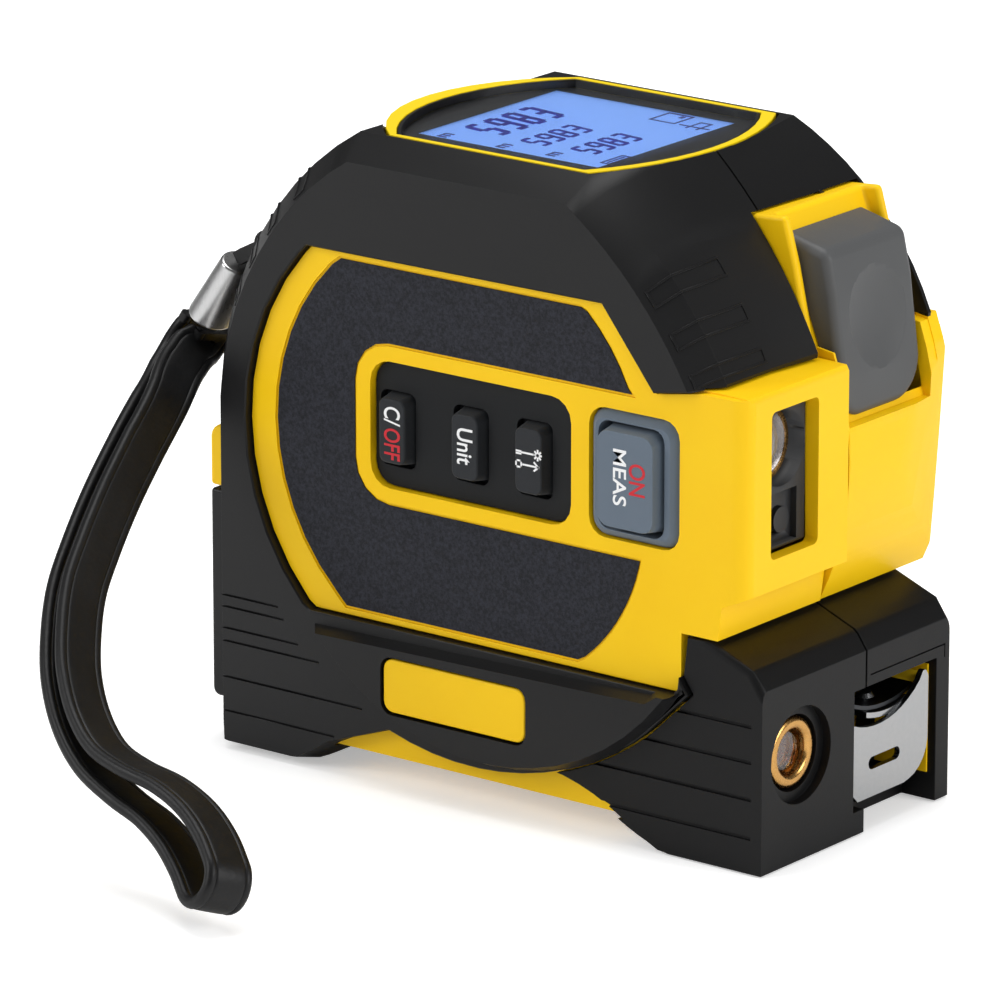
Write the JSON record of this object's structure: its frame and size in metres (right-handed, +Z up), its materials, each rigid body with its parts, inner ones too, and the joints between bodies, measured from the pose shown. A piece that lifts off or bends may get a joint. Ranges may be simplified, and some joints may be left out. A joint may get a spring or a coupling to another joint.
{
  "type": "laser distance meter",
  "caption": "Pocket tape measure with laser rangefinder and line laser: yellow case with black grips, backlit display on top, side keypad, thumb lock, retracting blade and wrist strap.",
  "frame": {"origin": "middle of the case's footprint, at the level of its feet, measured without the wrist strap", "axes": "+X towards the laser and tape mouth, +Y away from the keypad side towards the belt clip, +Z up to the display"},
  "size_m": [0.0951, 0.1082, 0.0821],
  "materials": {
    "yellow_shell": "moulded ABS, satin to gloss, warm yellow",
    "black_grip": "moulded over-grip, satin black with a fine spark texture",
    "black_rubber": "moulded silicone, matt blue-black",
    "blue_grey_rubber": "moulded silicone, satin blue-grey",
    "grey_plastic": "moulded ABS, satin mid grey",
    "sticker": "printed polyester overlay, fine grain, dark",
    "circuit_board": "glass-epoxy board with green solder mask",
    "clear_window": "clear acrylic, polished, black printed border",
    "display": "backlit liquid crystal cell, blue",
    "lens": "polished optical glass",
    "brass": "turned brass, bright",
    "bright_steel": "stamped steel, nickel plated",
    "spring_steel": "spring steel, satin",
    "blade_paint": "painted spring steel, yellow",
    "strap_leather": "grained black band, stitched edge to edge"
  },
  "bodies": {
    "case": {"near_shell": "yellow_shell", "near_grip": "black_grip", "badge_plate": "yellow_shell", "near_base": "black_grip", "side_sticker": "sticker", "keypad_mat": "black_rubber", "measure_key_skirt": "blue_grey_rubber", "main_board": "circuit_board", "switch_clear_off": "grey_plastic", "switch_unit": "grey_plastic", "switch_mode": "grey_plastic", "measure_switch": "grey_plastic", "buzzer": "black_grip", "rangefinder_holder": "black_grip", "receiver_lens": "lens", "emitter": "brass", "laser_barrel": "brass", "laser_lens": "lens", "far_shell": "yellow_shell", "far_grip": "black_grip", "far_base": "black_grip", "lock_hood": "yellow_shell", "partition": "black_grip", "reel_axle": "grey_plastic", "power_spring": "spring_steel", "lcd_bezel": "yellow_shell", "lcd_window": "clear_window", "lcd_module": "display", "rear_spine": "yellow_shell", "battery_cell": "sticker", "battery_contact_1": "brass", "battery_contact_2": "brass", "strap_pin": "bright_steel", "strap_loop": "strap_leather", "strap_crimp": "bright_steel", "wrist_strap": "strap_leather", "belt_clip": "spring_steel", "belt_clip_screw": "bright_steel", "case_screw_1": "bright_steel", "case_screw_2": "bright_steel", "case_screw_3": "bright_steel"},
    "clear_off_key": {"key_clear_off": "black_rubber"},
    "unit_key": {"key_unit": "black_rubber"},
    "mode_key": {"key_mode": "black_rubber"},
    "measure_button": {"measure_key": "blue_grey_rubber"},
    "tape_reel": {"reel": "black_grip", "blade_coil": "blade_paint"},
    "tape_blade": {"blade": "blade_paint", "hook_rivet_1": "bright_steel", "hook_rivet_2": "bright_steel"},
    "tape_hook": {"end_hook": "bright_steel"},
    "thumb_lock": {"lock_button": "grey_plastic", "lock_stem": "grey_plastic", "brake_pad": "black_rubber"},
    "battery_cover": {"battery_door": "black_grip"}
  },
  "joints": [
    {"name": "clear_off_press", "type": "slide", "parent": "case", "child": "clear_off_key", "axis": [0, 1, 0], "range_m": [0, 0.0006], "stiffness_N_per_m": 300, "springref_m": -0.0003},
    {"name": "unit_press", "type": "slide", "parent": "case", "child": "unit_key", "axis": [0, 1, 0], "range_m": [0, 0.0006], "stiffness_N_per_m": 300, "springref_m": -0.0003},
    {"name": "mode_press", "type": "slide", "parent": "case", "child": "mode_key", "axis": [0, 1, 0], "range_m": [0, 0.0006], "stiffness_N_per_m": 300, "springref_m": -0.0003},
    {"name": "measure_press", "type": "slide", "parent": "case", "child": "measure_button", "axis": [0, 1, 0], "range_m": [0, 0.0006], "stiffness_N_per_m": 300, "springref_m": -0.0003},
    {"name": "reel_spin", "type": "hinge", "parent": "case", "child": "tape_reel", "pos_m": [0.0021, 0.00382, 0.0448], "axis": [0, -1, 0], "range_deg": [0, 79], "stiffness_Nm_per_rad": 0.02, "springref_deg": -28.65},
    {"name": "blade_slide", "type": "slide", "parent": "case", "child": "tape_blade", "axis": [1, 0, 0], "range_m": [0, 0.038]},
    {"name": "hook_play", "type": "slide", "parent": "tape_blade", "child": "tape_hook", "axis": [1, 0, 0], "range_m": [0, 0.001]},
    {"name": "lock_slide", "type": "slide", "parent": "case", "child": "thumb_lock", "axis": [-0.3641, 0, 0.9313], "range_m": [0, 0.004]},
    {"name": "battery_door_hinge", "type": "hinge", "parent": "case", "child": "battery_cover", "pos_m": [-0.0429, -0.00217, 0.0059], "axis": [0, -1, 0], "range_deg": [0, 80]}
  ],
  "couplings": [
    {"joint": "blade_slide", "follows": "reel_spin", "m_per_rad": 0.0274}
  ]
}
